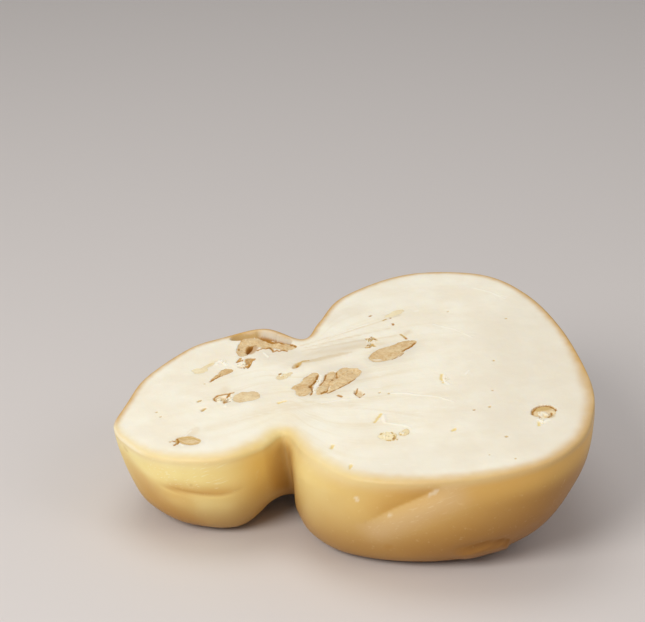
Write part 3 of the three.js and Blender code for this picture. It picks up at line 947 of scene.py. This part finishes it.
def edge_look(x, across, depth):
    """Width and depth of the soft edge near a place of the rim, and reach and strength of the skin."""
    to_back = ease(-0.4, 0.6, across)
    size = np.minimum(1, depth / FULL_CROWN_DEPTH)
    places, *looks = np.array(EDGE_FRONT).T
    near = [np.interp(x, places, values) for values in looks]
    wide, deep, reach, strength = [here + (there - here) * to_back for here, there in zip(near, EDGE_BACK)]
    return wide * size, deep * size, reach, strength


def rim_tone(x, across):
    """Gold and brown shares of the skin at the rim: deeper along the back and towards the end. Part of this
    toning is painted shade that dims the brightly lit rounding of the cut edge.
    """
    backward = ease(-0.4, 0.6, across)
    toned = np.maximum(ease(-10, 40, x), backward)
    at_end = ease(40, 90, x) * (1 - backward)
    return 0.2 + 0.35 * toned + 0.3 * backward + 0.2 * at_end, 0.11 + 0.15 * toned - 0.08 * backward


def make_face(loop):
    """Points, looks and triangles of the cut face, and which of its points are the rim's."""
    corners = np.concatenate([loop, face_points(loop)])
    made, _, triangles, origins, _, _ = delaunay_2d_cdt(
        [Vector(p) for p in corners], [], [list(range(len(loop)))], 1, 1e-6)
    at_rim = {source: i for i, sources in enumerate(origins) for source in sources if source < len(loop)}
    rim_ids = np.array([at_rim[i] for i in range(len(loop))])
    x, y = np.array([(p.x, p.y) for p in made]).T
    edge = rim_gap(x, y, np.concatenate([loop, (loop + np.roll(loop, -1, 0)) / 2]))
    edge[rim_ids] = 0

    row, across = row_at(x, y)
    _, _, depth, crown = row_ends(row)
    wide, deep, skin_reach, skin_strength = edge_look(x, across, depth)
    slope = np.clip(1 - edge / np.maximum(wide, 1e-6), 0, 1)
    drop = crown * np.abs(across) ** CROWN_POWER + deep * (1 - np.sqrt(1 - slope**2))
    height, looks, hollow = paste_height(x, y)
    height *= ease(0.1, 1.1, edge)

    ragged = edge + 0.06 * skin_reach * grain(x, y, 3, 61)
    tip = ease(-84, -92, x) * ease(-12, -20, y)
    lay(looks, "white", 0.4 * ease(1.3, 0.4, ragged) * tip)
    looks["rind"] = skin_strength * ease(skin_reach, 0, ragged) * (1 - ease(0.3, 1.2, hollow))
    looks["golden_and_shade"], looks["dried_and_shade"] = rim_tone(x, across)
    looks["pull"] = np.clip(bell(x + 8, 44) * (1.15 - np.abs(across)) + 0.08, 0, 1)
    looks.update({name: np.zeros_like(x) for name in ("painted_neck_light", "matt", "scratched")})
    travel = np.interp(row, row_table, travel_table)
    looks["flow"] = np.stack([travel, FLOW_HALF * across, np.zeros_like(x)], 1) / 1000
    return np.stack([x, y, height - drop], 1), looks, triangles, rim_ids


def make_rind(front, back, depth, crown):
    """Rows of points from the back rim under the cheese to the front rim, and their looks."""
    turn = np.linspace(0, 2 * math.pi, UNDER_STEPS + 1)[1:-1]
    angle = (turn - RIM_BUNCH * np.sin(turn)) / 2
    power = 2 / SECTION_POWER
    side = np.sign(np.cos(angle)) * np.abs(np.cos(angle)) ** power
    down = np.sin(angle) ** power

    # Section of each row under its softened rim, with the body's lean and shoulder
    low_front = crown + edge_look(front[:, 0], -1.0, depth)[1]
    low_back = crown + edge_look(back[:, 0], 1.0, depth)[1]
    low_rim = (low_front[:, None] * (1 - side) + low_back[:, None] * (1 + side)) / 2
    skin_depth = (depth[:, None] - low_rim) * down
    middle, half = ((front + back) / 2)[:, None], ((back - front) / 2)[:, None]
    x, y = middle[..., 0] + half[..., 0] * side, middle[..., 1] + half[..., 1] * side
    lean = ease(*LEAN_GROWS, x) - ease(*LEAN_FADES, x)
    shoulder = ease(*SHOULDER_GROWS, x) * ease(*SHOULDER_FADES, x) * ease(0, 9, skin_depth)
    shoulder *= ease(0, -0.5, side) * (1 - 0.5 * ease(25, 50, skin_depth))
    x = x - BODY_LEAN * lean * down - SHOULDER * shoulder
    under = np.stack([x, y, -low_rim - skin_depth], -1)

    # Relief along the way to the core, none at the rim; the first and last rows are rim alone
    core = np.stack(np.broadcast_arrays(x, middle[..., 1], -depth[:, None] / 3), -1)
    inward = core - under
    inward /= np.maximum(np.linalg.norm(inward, axis=-1, keepdims=True), 1e-6)
    inward *= ease(0, 7, skin_depth)[..., None]
    shape = under[1:-1].shape
    moved, looks = rind_relief(under[1:-1].reshape(-1, 3), inward[1:-1].reshape(-1, 3))
    skin_depth = skin_depth[1:-1].ravel()
    across = np.broadcast_to(side, shape[:2]).ravel()

    # The rim's colour runs on over the edge
    x = moved[:, 0]
    start = edge_look(x, across, FULL_CROWN_DEPTH)[3]
    full = 6 - 3 * ease(20, 80, x)
    looks["rind"] = start + (1 - start) * ease(0, 1, skin_depth / full)
    settled = ease(0, 3.2, skin_depth)
    for name, at_the_rim in zip(("golden_and_shade", "dried_and_shade"), rim_tone(x, across)):
        looks[name] = at_the_rim * (1 - settled) + looks[name] * settled
    looks["flow"] = np.zeros_like(moved)
    return moved, looks, shape[:2]


def make_cheese(material):
    """One closed mesh: the rind's rows end in the points of the face's rim."""
    count = int(travel_table[-1] / RIM_STEP)
    rows = np.interp(np.linspace(0, travel_table[-1], count + 1), travel_table, row_table)
    front, back, depth, crown = row_ends(rows)
    face, face_looks, triangles, rim_ids = make_face(np.concatenate([front, back[-2:0:-1]]))
    skin, skin_looks, shape = make_rind(front, back, depth, crown)

    first, last = rim_ids[0], rim_ids[count]
    inner = np.arange(len(skin)).reshape(shape) + len(face)
    grid = np.concatenate([rim_ids[:count:-1, None], inner, rim_ids[1:count, None]], 1)
    faces = [tuple(t) for t in triangles]
    for here, there in zip(grid, grid[1:]):
        faces += zip(here, there, there[1:], here[1:])
    faces += zip([first] * len(grid[0]), grid[0], grid[0, 1:])
    faces += zip([last] * len(grid[0]), grid[-1, 1:], grid[-1])
    looks = {name: np.concatenate([face_looks[name], skin_looks[name]]) for name in face_looks}
    return add_mesh("cheese_half", on_table(np.concatenate([face, skin])), faces, material, looks)


# Walnut pieces

NUT_STEP = 0.38  # spacing of facets around a nut's outline, within limits of their number
AROUND_LIMITS = (64, 260)
RING_STEP = 0.36
RING_LIMITS = (14, 48)
RAY_STEPS = 240
NUT_OVERLAP = 0.6  # how far a kernel reaches past its outline into the paste
BOWL_RINGS = 6
BOWL_DEPTH = 0.9  # share of the nut's depth
BOWL_SKIN = 0.8  # how brown a kernel is below the cut
NUT_TOP = 0.25  # nothing on a nut stands higher above the face


def nut_outline(nut):
    """Middle of a nut, the angles around it, how far out it ends on each and the number of its rings."""
    lobes = np.array(nut["lobes"])
    cx, cy = np.average(lobes[:, :2], axis=0, weights=lobes[:, 2] * lobes[:, 3])
    reach = (np.hypot(lobes[:, 0] - cx, lobes[:, 1] - cy) + lobes[:, 2]).max() + 1.5
    around = int(np.clip(2 * math.pi * reach / NUT_STEP, *AROUND_LIMITS))
    rings = int(np.clip(reach / RING_STEP, *RING_LIMITS))
    angle = np.linspace(0, 2 * math.pi, around, endpoint=False)
    ray = np.linspace(reach, 0, RAY_STEPS)
    gap = nut_gap(nut, cx + ray[:, None] * np.cos(angle), cy + ray[:, None] * np.sin(angle))
    return cx, cy, angle, ray[np.argmax(gap < NUT_OVERLAP, 0)], rings


def nut_cut(nut, x, y):
    """Height of a nut at the cut, and its looks there."""
    gap = nut_gap(nut, x, y)
    width = crack_width(nut, x, y)
    soft = nut.get("soft", 0)
    marks, looks = mark_face(x, y)
    turn = math.radians(max(nut["lobes"], key=lambda lobe: lobe[2] * lobe[3])[4])
    u, v = x * math.cos(turn) + y * math.sin(turn), y * math.cos(turn) - x * math.sin(turn)
    ridged = 0.7 * grain(0.55 * u, v, 2, 71) + 0.4 * grain(x, y, 1.1, 72)
    fold = np.zeros_like(x)
    if nut.get("fold"):
        gaps = np.sort([lobe_gap(x, y, lobe) for lobe in nut["lobes"]], 0)
        fold = bell(gaps[1] - gaps[0], 0.55) * ease(0.4, -0.6, gaps[0])
    pit, pit_depth = NUT_PIT
    in_pit = lobe_gap(x, y, pit)
    top = -nut["sink"] + nut["wrinkle"] * ridged - 1.2 * nut["wrinkle"] * fold + 0.8 * marks
    top -= pit_depth * ease(0.3, -1, in_pit)
    top -= (2.4 - 2.8 * soft) * ease(0.3 - 2.4 * width - 1.4 * soft, 0.65 - width, gap)

    looks["skin"] = 0.35 * bell(gap, 0.5) * ease(-0.2, 0.7, grain(x, y, 3.1, 73))
    lay(looks, "skin", 0.3 * nut["tone"] * ease(0.05, 0.8, grain(x, y, 2.4, 76)))
    lay(looks, "skin", 0.3 * fold * ease(-0.4, 0.5, grain(x, y, 2, 74)))
    lay(looks, "skin", 0.9 * ease(0.9, -0.4, in_pit))
    return np.minimum(top, NUT_TOP) - face_drop(x, y), looks


def make_walnut(name, nut, material):
    """Closed kernel: rings from its middle to its outline at the cut, and a bowl under them."""
    cx, cy, angle, out, rings = nut_outline(nut)
    around = len(angle)
    ox, oy = out * np.cos(angle), out * np.sin(angle)
    share = np.linspace(0, 1, rings + 1)[1:, None]
    x = np.concatenate([[cx], (cx + share * ox).ravel()])
    y = np.concatenate([[cy], (cy + share * oy).ravel()])
    top, looks = nut_cut(nut, x, y)
    sheet = [np.stack([x, y, top], 1)]
    low, depth = top[-around:], BOWL_DEPTH * nut["depth"]
    for k in range(1, BOWL_RINGS):
        swing = k / BOWL_RINGS * math.pi / 2
        narrow, fall = math.cos(swing), math.sin(swing)
        sheet.append(np.stack([cx + ox * narrow, cy + oy * narrow, low - (depth + low) * fall], 1))
    sheet.append(np.array([[cx, cy, -depth]]))
    points = np.concatenate(sheet)
    bowl = len(points) - len(x)
    for key, values in looks.items():
        looks[key] = np.append(values, np.full(bowl, BOWL_SKIN if key == "skin" else 0))
    looks["tone"] = nut["tone"] + 0.12 * grain(points[:, 0], points[:, 1], 4, 75)

    circle = np.arange(around)
    following = (circle + 1) % around
    faces = list(zip([0] * around, 1 + circle, 1 + following))
    for ring in range(rings + BOWL_RINGS - 2):
        a, b = 1 + ring * around, 1 + (ring + 1) * around
        faces += zip(a + circle, b + circle, b + following, a + following)
    last, foot = len(points) - 1 - around, len(points) - 1
    faces += zip(last + circle, [foot] * around, last + following)
    return add_mesh(name + "_kernel", on_table(points), faces, material, looks)


# Crumbs, scattered by Geometry Nodes

CRUMB_SHORTEST = (0.45, 0.4, 0.3)  # share of the crumb size along each axis
CRUMB_LONGEST = (1.25, 1.0, 0.8)
FULL_TURN = (6.283, 6.283, 6.283)
LUMP_SCALE = 1100  # lumps a metre
LUMPINESS = 0.5
CRUMB_RISE = 0.05  # how far a crumb's middle lies above what it lies on


def crumb_tree(material):
    """Lumpy crumbs on the points of a mesh, each turned and stretched at random."""
    tree = bpy.data.node_groups.new("crumbs on points", "GeometryNodeTree")
    sockets = {"Geometry": "Geometry", "Crumb size": "Float", "Lumpiness": "Float", "Seed": "Int"}
    for name, kind in sockets.items():
        tree.interface.new_socket(name, in_out="INPUT", socket_type="NodeSocket" + kind)
    tree.interface.new_socket("Geometry", in_out="OUTPUT", socket_type="NodeSocketGeometry")
    given = add(tree, "NodeGroupInput").outputs
    lump = add(tree, "GeometryNodeMeshIcoSphere", {"Radius": given["Crumb size"]}, Subdivisions=2)
    turn, size = (add(tree, "FunctionNodeRandomValue", {"Seed": given["Seed"]}, data_type="FLOAT_VECTOR")
                  for _ in range(2))
    turn.inputs[1].default_value = FULL_TURN
    size.inputs[0].default_value = CRUMB_SHORTEST
    size.inputs[1].default_value = CRUMB_LONGEST
    spread = add(tree, "GeometryNodeInstanceOnPoints", {
        "Points": given["Geometry"], "Instance": lump.outputs["Mesh"],
        "Rotation": turn.outputs[0], "Scale": size.outputs[0]})
    loose = add(tree, "GeometryNodeRealizeInstances", {"Geometry": spread.outputs["Instances"]})
    rough = add(tree, "ShaderNodeTexNoise", Scale=LUMP_SCALE, Detail=1)
    centred = add(tree, "ShaderNodeVectorMath", {0: rough.outputs["Color"]}, operation="SUBTRACT")
    centred.inputs[1].default_value = (0.5, 0.5, 0.5)
    shift = add(tree, "ShaderNodeVectorMath", {0: centred.outputs[0], "Scale": given["Lumpiness"]},
                operation="SCALE")
    shaped = add(tree, "GeometryNodeSetPosition", {
        "Geometry": loose.outputs["Geometry"], "Offset": shift.outputs[0]})
    finish = add(tree, "GeometryNodeSetMaterial", {"Geometry": shaped.outputs["Geometry"]}, Material=material)
    add(tree, "NodeGroupOutput", {"Geometry": finish.outputs["Geometry"]})
    return tree


def make_crumbs(name, spots, material, crumb_size, seed):
    """Crumbs spread around spots of the face, on the paste or on a nut."""
    draw = np.random.default_rng(seed)
    places = []
    for cx, cy, spread, count in spots:
        x = cx + spread * draw.normal(0, 0.5, count)
        y = cy + spread * draw.normal(0, 0.5, count)
        places.append((x, y))
    x, y = np.concatenate(places, 1)
    height, _, _ = paste_height(x, y)
    for nut in WALNUTS.values():
        height = np.where(nut_gap(nut, x, y) < -0.4, -nut["sink"], height)
    points = on_table(np.stack([x, y, height - face_drop(x, y) + CRUMB_RISE], 1))
    piece = add_mesh(name, points, [], material)
    modifier = piece.modifiers.new("crumbs", "NODES")
    modifier.node_group = crumb_tree(material)
    values = {"Crumb size": crumb_size / 1000, "Lumpiness": LUMPINESS / 1000, "Seed": seed}
    for socket in modifier.node_group.interface.items_tree:
        if socket.name in values:
            modifier[socket.identifier] = values[socket.name]
    shaped = bpy.data.meshes.new_from_object(piece.evaluated_get(bpy.context.evaluated_depsgraph_get()))
    piece.modifiers.clear()
    piece.data = shaped
    shaped.shade_smooth()
    return piece


cheese_material = make_cheese_material()
walnut_material = make_walnut_material()
curd_material = make_crumb_material("torn curd crumbs", "#f8f2e0", "#f0e4c4")
nut_crumb_material = make_crumb_material("walnut crumbs", "#d9bd8c", "#a87a3c")

cheese = make_cheese(cheese_material)
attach(cheese, "root")
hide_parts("cheese")

for node, nut in WALNUTS.items():
    kernel = make_walnut(node, nut, walnut_material)
    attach(kernel, "root")
    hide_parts(node)

for name, spots, material, size, seed, slot in (
        ("curd_crumbs", CURD_CRUMBS, curd_material, 0.55, 5, "paste"),
        ("walnut_crumbs", WALNUT_CRUMBS, nut_crumb_material, 0.5, 6, "walnut")):
    crumbs = make_crumbs(name, spots, material, size, seed)
    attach(crumbs, "root")

# Plain floor, soft studio light and the camera, in metres

FLOOR_HALF = 4
LIGHT_AIM = (0, 0, 0.03)
EYE_PLACE = (-0.01222, -0.80812, 0.39460)
EYE_TILT = 69.042  # degrees from straight down
LENS = 111.63

corners = [(-FLOOR_HALF, -FLOOR_HALF, 0), (FLOOR_HALF, -FLOOR_HALF, 0), (FLOOR_HALF, FLOOR_HALF, 0),
           (-FLOOR_HALF, FLOOR_HALF, 0)]
floor = add_mesh("floor", corners, [(0, 1, 2, 3)], make_floor_material())

world = bpy.data.worlds.new("studio")
world.use_nodes = True
world.node_tree.nodes["Background"].inputs["Color"].default_value = linear("#fffdfa")
world.node_tree.nodes["Background"].inputs["Strength"].default_value = 0.38
bpy.context.scene.world = world


def add_softbox(name, place, size, power, colour):
    lamp = bpy.data.lights.new(name, "AREA")
    lamp.shape = "DISK"
    lamp.size = size
    lamp.energy = power
    lamp.color = linear(colour)[:3]
    box = bpy.data.objects.new(name, lamp)
    box.location = place
    box.rotation_euler = (Vector(LIGHT_AIM) - Vector(place)).to_track_quat("-Z", "Y").to_euler()
    bpy.context.scene.collection.objects.link(box)


add_softbox("key light", (-0.70, -0.89, 0.82), 0.7, 11.5, "#fffdf8")
add_softbox("side light", (0.95, -0.55, 0.85), 0.7, 1.9, "#ffffff")
add_softbox("top light", (-0.15, 0.35, 1.4), 0.9, 4, "#ffffff")

camera = bpy.data.cameras.new("camera")
camera.lens = LENS
camera.sensor_width = 36
camera.clip_start = 0.01
eye = bpy.data.objects.new("camera", camera)
eye.location = EYE_PLACE
eye.rotation_euler = (math.radians(EYE_TILT), 0, 0)
bpy.context.scene.collection.objects.link(eye)
bpy.context.scene.camera = eye
bpy.context.scene.view_settings.view_transform = "Standard"
